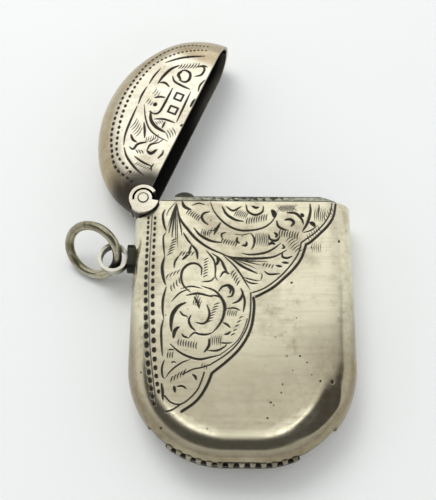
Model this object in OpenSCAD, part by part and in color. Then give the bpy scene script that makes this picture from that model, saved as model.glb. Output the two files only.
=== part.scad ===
// Pocket vesta case with a side-hinged lid, shown lying on its back with the lid open.
// X runs across the case, Y from the base to the mouth and Z out of the front. All sizes are in mm.
// The origin is the middle of the flat back of the body, which is what the case lies on.

/* [Case] */
// Width across the body and the lid
case_width = 34; // [30:0.5:38]
// Thickness from the flat back to the flat front
case_thickness = 8.4; // [7.6:0.1:10]
// Height of the body from the base to the mouth
body_height = 39.5; // [36:0.5:44]
// Thickness of the silver sheet
wall = 0.6; // [0.5:0.05:0.8]
// Radius of the wide corners that curve the sides into the base
base_radius = 14.5; // [12:0.5:15]

/* [Lid] */
// Height of the lid above the mouth
lid_height = 14.2; // [12:0.1:15]
// Straight length of the lid's sides, below the wide corners of its top
lid_side = 0.3; // [0.3:0.1:1.6]
// Angle between the closed lid and the lid as it lies
lid_open_angle = 67; // [0:1:78]
// Gap left between the rims of the closed lid and the body
mouth_gap = 0.12; // [0.08:0.02:0.2]

/* [Hinge] */
// Distance of the hinge axis inside the left edge of the case
hinge_inset = 1.6; // [1.5:0.05:2]
// Height of the hinge axis above the mouth
hinge_rise = 0.3; // [0.2:0.05:0.4]
// Outer radius of the knuckles
knuckle_radius = 2.2; // [2.1:0.05:2.4]
// Height of the hinge's rear end above the flat back
hinge_back = 0.2; // [0.15:0.05:0.4]
// Height of the hinge's front end above the flat front
hinge_proud = 0.6; // [0.2:0.05:0.8]
// Length of the lid's knuckle in the middle of the hinge
lid_knuckle_length = 2.6; // [2:0.1:3]
// End play between neighbouring knuckles
knuckle_play = 0.08; // [0.05:0.01:0.15]
// Clearance of the scooped notches round the knuckles
notch_clearance = 0.2; // [0.15:0.01:0.25]
// Sheet thickness of the curled strap that forms a body knuckle
curl_wall = 0.5; // [0.4:0.05:0.55]
// Width of the crescent between the curled strap and its bush
curl_gap = 0.35; // [0.2:0.01:0.4]
// Radius of the hinge pin
pin_radius = 0.76; // [0.6:0.02:0.9]
// Radial clearance of the pin in the lid's knuckle
pin_clearance = 0.04; // [0.02:0.01:0.08]
// Height of the riveted pin ends above the knuckles
pin_end = 0.12; // [0.05:0.01:0.18]
// Depth of the two flats on the lid's knuckle that the spring snaps on
detent_depth = 0.2; // [0.1:0.02:0.25]

/* [Collar] */
// Height of the inner collar above the mouth
collar_proud = 1.1; // [0.8:0.05:1.2]
// Depth of the collar inside the body
collar_depth = 4; // [3:0.25:6]
// Sheet thickness of the collar
collar_wall = 0.45; // [0.35:0.05:0.6]
// Clearance of the collar in the shells
collar_fit = 0.05; // [0.04:0.01:0.1]
// Extra clearance at the end far from the hinge, which the lid's rim swings past
collar_end_gap = 0.2; // [0.15:0.01:0.3]
// Distance from the hinge axis to the full height of the collar
collar_start = 4.8; // [4:0.1:6]
// Distance from the hinge axis to the low lead-in of the collar
lead_start = 2.7; // [2.6:0.05:3.2]
// Height of the lead-in above the mouth
lead_proud = 0.55; // [0.4:0.05:0.7]
// Length of the slope at the end far from the hinge
collar_slope = 4.4; // [3:0.1:6]
// Length of the raised ear at the start of the full height
ear_length = 3; // [2:0.1:4]
// Height of the middle of the ear above the rest of the collar
ear_rise = 0.7; // [0.4:0.05:0.9]
// Height of the ends of the ear above the rest of the collar
ear_shoulder = 0.1; // [0.05:0.01:0.2]

/* [Spring] */
// Length of the flat spring from its foot to its nose
spring_length = 13; // [10:0.5:16]
// Width of the spring
spring_width = 2.6; // [2:0.1:3]
// Thickness of the spring
spring_thickness = 0.3; // [0.2:0.02:0.4]
// Radius of the rolled nose of the spring
spring_nose_radius = 0.35; // [0.3:0.01:0.45]
// Gap between the nose and the knuckle's round
nose_gap = 0.1; // [0.05:0.01:0.15]
// Height of the rivet above the foot of the spring
rivet_height = 1.6; // [1.2:0.1:3]
// Shank radius of the rivet
rivet_radius = 0.45; // [0.35:0.01:0.55]
// Head radius of the rivet
rivet_head_radius = 0.9; // [0.7:0.05:1.1]
// Head height of the rivet
rivet_head = 0.4; // [0.3:0.05:0.5]
// Depth of the rivet's filed end below the side of the case
rivet_flush = 0.05; // [0.02:0.01:0.1]

/* [Striker] */
// Width of the striker across the base
striker_width = 3.6; // [3:0.1:4]
// Angle of the base's corners that the striker bends into
striker_bend = 50; // [35:1:55]
// Number of teeth on the striker
tooth_count = 13; // [9:1:15]
// Pitch of the teeth along the base
tooth_pitch = 1.55; // [1.2:0.05:1.6]
// Width of a tooth at its foot
tooth_width = 0.95; // [0.8:0.05:1.1]
// Width of a tooth at its top
tooth_top = 0.6; // [0.4:0.05:0.7]
// Height of the teeth above the striker's flush face
tooth_rise = 0.5; // [0.3:0.05:0.6]
// Distance of the middle tooth from the middle of the base, towards the hinge
tooth_shift = 1.6; // [0:0.1:2]

/* [Ring] */
// Distance of the loop below the mouth
loop_drop = 8.1; // [6.5:0.1:12]
// Outer radius of the loop
loop_radius = 2.35; // [2.1:0.05:2.6]
// Wall thickness of the loop
loop_wall = 0.5; // [0.4:0.02:0.55]
// Length of the loop, which is a short tube
loop_length = 1.7; // [1.4:0.1:1.9]
// Thickness of the pad between the loop and the body
pad_thickness = 0.8; // [0.6:0.05:1.2]
// Length of the pad along the side of the body
pad_length = 4.6; // [4:0.1:6]
// Width of the pad
pad_width = 2.6; // [2:0.1:3]
// Depth of the hollow in the pad that the loop is soldered into
pad_seat = 0.12; // [0.08:0.01:0.2]
// Radius of the jump ring to the middle of its wire
ring_radius = 4.25; // [4:0.05:4.6]
// Radius of the ring's wire
wire_radius = 0.72; // [0.6:0.02:0.76]
// Width of the ring's butt seam
ring_seam = 0.08; // [0.04:0.01:0.2]
// Place round the ring where it goes through the loop
ring_pass = 94; // [88:1:100]
// Direction in which the ring leans
ring_heading = 243; // [235:1:250]

/* [Hidden] */
$fn = 96;

// Overlap of cutting shapes past the faces that they cut
over = 1;
// Overlap of two cutting wedges that meet, in degrees
lap_angle = 1;
// Gap that stands for a soldered or pressed joint
solder = 0.02;
silver = [0.80, 0.77, 0.68];
bright_silver = [0.88, 0.86, 0.78];
dark_steel = [0.30, 0.29, 0.27];

mouth_y = body_height / 2;
mid_z = case_thickness / 2;
edge_radius = case_thickness / 2;
half_width = case_width / 2;

hinge_x = -half_width + hinge_inset;
hinge_y = mouth_y + hinge_rise;
hinge_top = case_thickness + hinge_proud;
knuckle_low = mid_z - lid_knuckle_length / 2;
knuckle_top = mid_z + lid_knuckle_length / 2;
notch_radius = knuckle_radius + notch_clearance;
bush_radius = knuckle_radius - curl_wall - curl_gap;

corner_x = half_width - base_radius;
corner_y = -body_height / 2 + base_radius;
// The centre of the lid's curved top and the centre of a corner are two points of a triangle with sides 3, 4, 5
crown_unit = (half_width - lid_height + lid_side) / 2;
lid_radius = half_width - 3 * crown_unit;
crown_radius = lid_radius + 5 * crown_unit;
base_flat = base_radius - edge_radius;
striker_face = base_flat + sqrt(pow(edge_radius, 2) - pow(striker_width / 2, 2));
striker_root = base_flat + sqrt(pow(edge_radius - wall, 2) - pow(striker_width / 2, 2));

loop_x = -half_width - pad_thickness - loop_radius;
loop_y = mouth_y - loop_drop;
loop_inner = loop_radius - loop_wall;

spring_half = spring_width / 2;
inner_edge = edge_radius - wall;
spring_back = inner_edge - sqrt(pow(inner_edge, 2) - pow(spring_half, 2)) + solder;
spring_x = -half_width + wall + spring_back;
nose_y = hinge_y - knuckle_radius - nose_gap - spring_nose_radius;
spring_foot_y = nose_y - spring_length;
rivet_y = spring_foot_y + rivet_height;

// Solid section of half a shell, from the middle of a sweep out to the full-round edge
module half_slab(reach, height) {
    flat = reach - edge_radius;
    intersection() {
        union() {
            square([flat, height]);
            translate([flat, 0]) circle(height);
        }
        square([reach + over, edge_radius + over]);
    }
}

// Section of half a shell as it is stamped from sheet
module sheet_section(reach) {
    flat = reach - edge_radius;
    inside = edge_radius - wall;
    difference() {
        half_slab(reach, edge_radius);
        translate([-over, -over]) square([flat + over, inside + over]);
        translate([flat, 0]) circle(inside);
    }
}

// Front half of a shell, from a mouth on Y = 0 down to Y = -height, with a wide radius in both corners
module half_shell(height, radius, gap) {
    flat_x = half_width - radius;
    side_y = radius - height;
    for (side = [0, 1]) {
        mirror([side, 0, 0]) {
            translate([flat_x, side_y, 0])
                rotate([0, 0, -90])
                    rotate_extrude(angle = 90) sheet_section(radius);
            translate([flat_x, -gap, 0])
                rotate([90, 0, 0])
                    linear_extrude(-gap - side_y) sheet_section(radius);
        }
    }
    translate([flat_x, side_y, 0])
        rotate([0, 0, -90])
            rotate([90, 0, 0])
                linear_extrude(2 * flat_x) sheet_section(radius);
    translate([-flat_x, side_y, edge_radius - wall])
        cube([2 * flat_x, -gap - side_y, wall]);
}

// Wedge that parts the lid's curved end from its corners
module crown_wedge() {
    translate([0, crown_radius - lid_height, -over])
        linear_extrude(edge_radius + 2 * over)
            polygon(crown_radius * [[0, 0], [-3, -4], [3, -4]]);
}

// Front half of the lid's shell, from a mouth on Y = 0 down to Y = -lid_height, with a curved end
module crowned_shell(gap) {
    flat_x = 3 * crown_unit;
    plate_radius = 5 * crown_unit;
    lap = (lid_side - gap) / 2;
    for (side = [0, 1]) {
        mirror([side, 0, 0]) {
            difference() {
                translate([flat_x, -lid_side, 0])
                    rotate([0, 0, -90])
                        rotate_extrude(angle = 90) sheet_section(lid_radius);
                crown_wedge();
            }
            translate([flat_x, -gap, 0])
                rotate([90, 0, 0])
                    linear_extrude(lid_side - gap) sheet_section(lid_radius);
        }
    }
    intersection() {
        translate([0, crown_radius - lid_height, 0])
            rotate([0, 0, 180])
                rotate_extrude(angle = 180)
                    difference() {
                        sheet_section(crown_radius);
                        square([plate_radius - lap, edge_radius + over]);
                    }
        crown_wedge();
    }
    translate([0, 0, edge_radius - wall])
        linear_extrude(wall)
            intersection() {
                translate([0, crown_radius - lid_height]) circle(plate_radius + over);
                translate([-flat_x, -lid_height]) square([2 * flat_x, lid_height - gap]);
            }
}

// Moves its children with the lid, from where they are with the lid closed
module swing_with_lid() {
    translate([hinge_x, hinge_y, 0])
        rotate([0, 0, lid_open_angle])
            translate([-hinge_x, -hinge_y, 0])
                children();
}

// Upright cut for the scooped notch round the hinge
module hinge_notch() {
    translate([hinge_x, hinge_y, -over])
        cylinder(r = notch_radius, h = case_thickness + 2 * over);
}

// Bends a section round the base: a straight run between two arcs
module bend_round_base(bend) {
    translate([0, corner_y, mid_z]) {
        translate([corner_x, 0, 0])
            rotate([0, 0, -90])
                rotate([90, 0, 0])
                    linear_extrude(2 * corner_x) children();
        for (side = [0, 1])
            mirror([side, 0, 0])
                translate([corner_x, 0, 0])
                    rotate([0, 0, -90])
                        rotate_extrude(angle = bend) children();
    }
}

// Slot round the base that the striker is set in
module striker_slot() {
    bend_round_base(striker_bend)
        translate([striker_root - over, -striker_width / 2])
            square([base_radius + 2 * over - striker_root, striker_width]);
}

// Hole for the shank of the spring's rivet, through the left side
module rivet_hole() {
    translate([-half_width - over, rivet_y, mid_z])
        rotate([0, 90, 0])
            cylinder(r = rivet_radius + solder, h = wall + 2 * over);
}

module body_half() {
    translate([0, mouth_y, 0])
        half_shell(body_height, base_radius, 0);
}

module body_cuts() {
    hinge_notch();
    striker_slot();
    rivet_hole();
}

module body_front() {
    color(silver)
        difference() {
            translate([0, 0, mid_z]) body_half();
            body_cuts();
        }
}

module body_back() {
    color(silver)
        difference() {
            translate([0, 0, mid_z]) mirror([0, 0, 1]) body_half();
            body_cuts();
        }
}

module lid_half() {
    translate([0, mouth_y, 0])
        mirror([0, 1, 0])
            crowned_shell(mouth_gap);
}

module lid_front() {
    color(silver)
        swing_with_lid()
            difference() {
                translate([0, 0, mid_z]) lid_half();
                hinge_notch();
            }
}

module lid_back() {
    color(silver)
        swing_with_lid()
            difference() {
                translate([0, 0, mid_z]) mirror([0, 0, 1]) lid_half();
                hinge_notch();
            }
}

// Flat oval with full-round ends, between two X values
module oval(left, right, height) {
    round_end = height / 2;
    translate([left + round_end, -round_end]) square([right - left - height, height]);
    translate([left + round_end, 0]) circle(round_end);
    translate([right - round_end, 0]) circle(round_end);
}

// C section of the inner collar from an X value to its round end, from its foot up to a height
module collar_run(from, proud) {
    outer = case_thickness - 2 * (wall + collar_fit);
    right = half_width - wall - collar_end_gap;
    translate([0, mouth_y + proud, mid_z])
        rotate([90, 0, 0])
            linear_extrude(collar_depth + proud)
                difference() {
                    oval(-half_width, right, outer);
                    oval(-half_width, right - collar_wall, outer - 2 * collar_wall);
                    translate([-half_width - over, -edge_radius])
                        square([half_width + over + from, case_thickness]);
                }
}

// Slope that lowers the collar to the mouth at the end far from the hinge
module collar_slope_cut() {
    right = half_width - wall;
    slope = collar_proud / collar_slope;
    translate([right, mouth_y, -over])
        linear_extrude(case_thickness + 2 * over)
            polygon([
                [over, -slope * over],
                [over, collar_proud + over],
                [-collar_slope - over / slope, collar_proud + over]
            ]);
}

// Inner collar, open towards the hinge, with a low lead-in and a raised ear on each free end
module mouth_collar() {
    skin = wall + collar_fit;
    start = hinge_x + collar_start;
    top = mouth_y + collar_proud;
    ear_bow = ear_rise - ear_shoulder;
    ear_radius = (pow(ear_length / 2, 2) + pow(ear_bow, 2)) / (2 * ear_bow);
    color(dark_steel) {
        difference() {
            union() {
                collar_run(hinge_x + lead_start, lead_proud);
                collar_run(start, collar_proud);
            }
            collar_slope_cut();
        }
        for (low = [skin, case_thickness - skin - collar_wall])
            translate([start, top, low])
                linear_extrude(collar_wall)
                    intersection() {
                        translate([ear_length / 2, ear_rise - ear_radius]) circle(ear_radius);
                        translate([0, -ear_rise]) square([ear_length, 2 * ear_rise + over]);
                    }
    }
}

// Places a tooth on the base at a distance from the middle, square to the surface
module at_base(distance) {
    past = abs(distance) - corner_x;
    turn = max(0, past) / base_radius * 180 / PI;
    translate([0, corner_y, mid_z])
        translate([sign(distance) * min(abs(distance), corner_x), 0, 0])
            rotate([0, 0, -90 + sign(distance) * turn])
                children();
}

// Striker, set in the slot of the base with its face flush and a row of teeth that stand out
module striker_strip() {
    end_angle = solder / striker_face * 180 / PI;
    width = striker_width - 2 * solder;
    depth = striker_face - striker_root;
    color(dark_steel) {
        bend_round_base(striker_bend - end_angle)
            translate([striker_root, -width / 2])
                square([depth, width]);
        for (i = [0 : tooth_count - 1])
            at_base((i - (tooth_count - 1) / 2) * tooth_pitch - tooth_shift)
                translate([striker_face, 0, -width / 2])
                    linear_extrude(width)
                        polygon([
                            [-depth / 2, -tooth_width / 2],
                            [0, -tooth_width / 2],
                            [tooth_rise, -tooth_top / 2],
                            [tooth_rise, tooth_top / 2],
                            [0, tooth_width / 2],
                            [-depth / 2, tooth_width / 2]
                        ]);
    }
}

// Wedge of the plane between two angles, long enough to cut through a knuckle
module wedge(from, to) {
    reach = 4 * knuckle_radius;
    middle = (from + to) / 2;
    polygon([
        [0, 0],
        reach * [cos(from), sin(from)],
        reach * [cos(middle), sin(middle)],
        reach * [cos(to), sin(to)]
    ]);
}

// Ring of the plane between two radii, cut to a wedge
module ring_wedge(inner, outer, from, to) {
    intersection() {
        difference() {
            circle(outer);
            circle(inner);
        }
        wedge(from, to);
    }
}

// End view of a body knuckle: a strap that leaves the mouth's corner, passes under the bush and curls over
// it, with an open crescent between the two. Angles run round the pin, from the far side of the mouth.
module lug_section() {
    rim_clear_angle = 4;
    tail_angle = -asin(hinge_rise / notch_radius) - rim_clear_angle;
    seat_from = 225;
    seat_to = 360 + tail_angle;
    curl_end = 32;
    curl_start = 192;
    curl_middle = (curl_end + curl_start) / 2;
    difference() {
        union() {
            circle(knuckle_radius);
            ring_wedge(knuckle_radius - curl_wall, notch_radius - solder, seat_from, seat_to);
        }
        ring_wedge(bush_radius, bush_radius + curl_gap, curl_end - lap_angle, curl_middle);
        ring_wedge(bush_radius, bush_radius + curl_gap, curl_middle - lap_angle, curl_start);
        ring_wedge(bush_radius, notch_radius + over, tail_angle, curl_end);
        circle(pin_radius + solder / 2);
    }
}

module hinge_lug(low, top) {
    translate([hinge_x, hinge_y, low])
        linear_extrude(top - low) lug_section();
}

module hinge_lug_front() {
    color(bright_silver) hinge_lug(knuckle_top + knuckle_play, hinge_top);
}

module hinge_lug_rear() {
    color(bright_silver) hinge_lug(hinge_back, knuckle_low - knuckle_play);
}

// Pin with a low chamfered rivet end outside each body knuckle
module hinge_pin() {
    chamfer = pin_end / 2;
    top = hinge_top - hinge_back + pin_end;
    color(bright_silver)
        translate([hinge_x, hinge_y, hinge_back])
            rotate_extrude()
                polygon([
                    [0, -pin_end],
                    [pin_radius - chamfer, -pin_end],
                    [pin_radius, chamfer - pin_end],
                    [pin_radius, top - chamfer],
                    [pin_radius - chamfer, top],
                    [0, top]
                ]);
}

// Knuckle of the lid, soldered into the notch of the lid's side wall, with a flat for each snap position
module lid_knuckle() {
    seat_from = 112;
    seat_to = 134;
    nose_angle = -90;
    color(silver)
        swing_with_lid()
            translate([hinge_x, hinge_y, knuckle_low])
                difference() {
                    linear_extrude(lid_knuckle_length)
                        difference() {
                            union() {
                                circle(knuckle_radius);
                                ring_wedge(pin_radius + curl_wall, notch_radius - solder, seat_from, seat_to);
                            }
                            circle(pin_radius + pin_clearance);
                        }
                    for (turn = [nose_angle, nose_angle - lid_open_angle])
                        rotate([0, 0, turn])
                            translate([knuckle_radius - detent_depth, -knuckle_radius, -over])
                                cube([2 * detent_depth, 2 * knuckle_radius, lid_knuckle_length + 2 * over]);
                }
}

// Flat spring along the inside of the left wall, with a rolled nose under the lid's knuckle
module lid_spring() {
    color(dark_steel)
        difference() {
            translate([0, 0, mid_z - spring_half])
                linear_extrude(spring_width) {
                    translate([spring_x, spring_foot_y])
                        square([spring_thickness, nose_y - spring_foot_y]);
                    translate([spring_x + spring_nose_radius, nose_y]) circle(spring_nose_radius);
                }
            translate([spring_x - over, rivet_y, mid_z])
                rotate([0, 90, 0])
                    cylinder(r = rivet_radius + solder, h = spring_thickness + 2 * over);
        }
}

// Rivet through the foot of the spring and the side wall, filed flush outside
module spring_rivet() {
    outside = -half_width + rivet_flush;
    inside = spring_x + spring_thickness;
    color(dark_steel)
        translate([0, rivet_y, mid_z])
            rotate([0, 90, 0]) {
                translate([0, 0, outside]) cylinder(r = rivet_radius, h = inside - outside);
                translate([0, 0, inside]) cylinder(r = rivet_head_radius, h = rivet_head);
            }
}

// Oval pad between the rounded side and the loop, hollowed to seat on both
module loop_pad() {
    rise = pad_thickness + pad_seat;
    color(silver)
        difference() {
            translate([-half_width - rise, loop_y, mid_z])
                rotate([0, 90, 0])
                    rotate([0, 0, 90])
                        linear_extrude(rise + wall)
                            oval(-pad_length / 2, pad_length / 2, pad_width);
            translate([-half_width + edge_radius, loop_y + pad_length, mid_z])
                rotate([90, 0, 0])
                    cylinder(r = edge_radius + solder, h = 2 * pad_length);
            translate([loop_x, loop_y, -over])
                cylinder(r = loop_radius + solder, h = case_thickness + 2 * over);
        }
}

// Fixed loop: a short tube, its axis along the thickness of the case
module ring_loop() {
    color(bright_silver)
        translate([loop_x, loop_y, mid_z - loop_length / 2])
            linear_extrude(loop_length)
                difference() {
                    circle(loop_radius);
                    circle(loop_inner);
                }
}

// Wire ring through the loop. It leans on the loop's wall with its low side on the ground, and its wire
// goes through the loop off the middle.
module jump_ring() {
    rest_gap = 0.03;
    pass_x = 0.54;
    pass_y = -0.25;
    drop = mid_z - wire_radius - rest_gap;
    tilt = asin(drop / (ring_radius * (1 - cos(ring_pass))));
    seam_angle = ring_seam / ring_radius * 180 / PI;
    seam_at = -150;
    color(silver)
        translate([loop_x + pass_x, loop_y + pass_y, mid_z])
            rotate([0, tilt, ring_heading])
                translate(-ring_radius * [cos(ring_pass), sin(ring_pass), 0])
                    rotate([0, 0, seam_at])
                        rotate_extrude(angle = 360 - seam_angle)
                            translate([ring_radius, 0]) circle(wire_radius);
}

body_front();
body_back();
mouth_collar();
striker_strip();
hinge_lug_front();
hinge_lug_rear();
hinge_pin();
lid_front();
lid_back();
lid_knuckle();
lid_spring();
spring_rivet();
loop_pad();
ring_loop();
jump_ring();
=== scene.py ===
"""Looks of an engraved silver pocket vesta case that lies on its back with its lid open.

Lengths are in millimetres in the CAD frame, angles in degrees. MM turns a length into metres when a mesh,
a light or the camera is made.
"""

import math

import bmesh
import bpy
import numpy as np
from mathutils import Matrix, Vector, geometry


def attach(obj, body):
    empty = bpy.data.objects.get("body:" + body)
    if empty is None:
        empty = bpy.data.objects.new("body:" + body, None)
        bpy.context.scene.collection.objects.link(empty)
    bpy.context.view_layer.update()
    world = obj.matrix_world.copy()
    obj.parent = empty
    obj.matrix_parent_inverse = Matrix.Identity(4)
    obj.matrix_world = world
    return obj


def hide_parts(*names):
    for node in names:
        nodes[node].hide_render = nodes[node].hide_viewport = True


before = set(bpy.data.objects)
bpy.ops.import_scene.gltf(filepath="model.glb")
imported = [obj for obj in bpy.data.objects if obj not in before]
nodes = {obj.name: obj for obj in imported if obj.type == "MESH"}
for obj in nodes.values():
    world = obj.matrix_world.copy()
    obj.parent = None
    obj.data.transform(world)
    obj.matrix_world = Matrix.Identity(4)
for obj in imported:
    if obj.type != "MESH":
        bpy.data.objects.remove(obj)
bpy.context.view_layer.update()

MM = 0.001
TINY = 1e-9

# Sizes of the case, as in the CAD model
HALF_WIDTH = 17.0
MID_Z = 4.2
EDGE = 4.2
WALL = 0.6
MOUTH_Y = 19.75
BODY_HEIGHT = 39.5
BODY_CORNER = 14.5
LID_HEIGHT = 14.2
LID_SIDE = 0.3
LID_GAP = 0.12
LID_OPEN = 67.0
HINGE_X = -15.4
HINGE_Y = 20.05
HINGE_TOP = 9.0
PIN_RADIUS = 0.76
COLLAR_TOP = 20.85
NOTCH_RADIUS = 2.4
SLOT_HALF = 1.8
SLOT_BEND = 50.0
SLOT_SINK = 0.95
SLOT_THIN = 3

# Worn round of the body: how far it runs into the face at each bend round the base, the depths over which that sets
# in, the power of its curve when new, at the base and at the right side, and the depths over which the last sets in
BASE_SOFTS = ((-90, 0), (-60, 0.35), (-30, 0.65), (-15, 0.8), (0, 0.62), (15, 0.55), (30, 0.35), (45, 0.2), (60, 0.3),
              (75, 1.25), (90, 0.9))
SOFT_DEPTHS = (12, 24)
NEW_POWER = 2.0
BASE_POWER = 2.6
SIDE_POWER = 2.8
SIDE_DEPTHS = (1, 8)

# Worn facet at the right of the base: its slope at each bend, where it starts, how far that moves inwards per degree,
# half the length over which it starts, and the step of the curves through both tables
FACET_SLOPES = ((-90, 0), (0, 0), (15, 0.03), (30, 0.28), (45, 0.31), (60, 0.29), (75, 0.13), (90, 0))
FACET_START = 0.7
FACET_LEAN = 0.0185
FACET_EASE = 0.5
BEND_STEP = 0.5

# Edge of the striker's slot: how far past the flat face its worn round is read, how many points lie along it, and how
# far the two rows of points that keep it sharp stand off it
SLOT_RUN = 4.75
SLOT_POINTS = 121
SLOT_SHARP = 0.02

# Painted shade between the striker's teeth, a dark band: the bends of its ends, radii of its foot and top, half its
# width, points along it
GAP_SHADE_BENDS = (-35.5, 23.0)
GAP_SHADE_ROOT = 14.0
GAP_SHADE_TOP = 14.54
GAP_SHADE_HALF = 1.6
GAP_SHADE_POINTS = 90

# Spacing of a shell's points by their place, the reach of the first two round a cut, the share of the spacing that
# points stay off the rim, the turn at which the notch stops, welding steps in a millimetre, and angle of a sharp edge
CUT_STEP = 0.08
NEAR_STEP = 0.22
ROUND_STEP = 0.4
FLAT_STEP = 0.8
RIM_STEP = 0.2
CUT_REACH = 0.08
NEAR_REACH = 0.4
RIM_CLEAR = 0.4
NOTCH_END = -150
WELD = 1e4
SHARP_ANGLE = 50

# Engraving: pitch and margins of the depth map, depth of a cut as a share of its width, depth at which it is black,
# width of its tips, power of its swell, how far a dot is drawn out, in how many stamps, bend of a hatch, and points
# of a curve between two knots
MAP_STEP = 0.04
MAP_MARGINS = (3, 1)
CUT_SLOPE = 0.32
FULL_SHADE = 0.018
TIP_WIDTH = 0.3
SWELL_POWER = 0.7
DOT_STRETCH = 0.15
DOT_STAMPS = 5
HATCH_BEND = 0.08
CURVE_POINTS = 40

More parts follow.
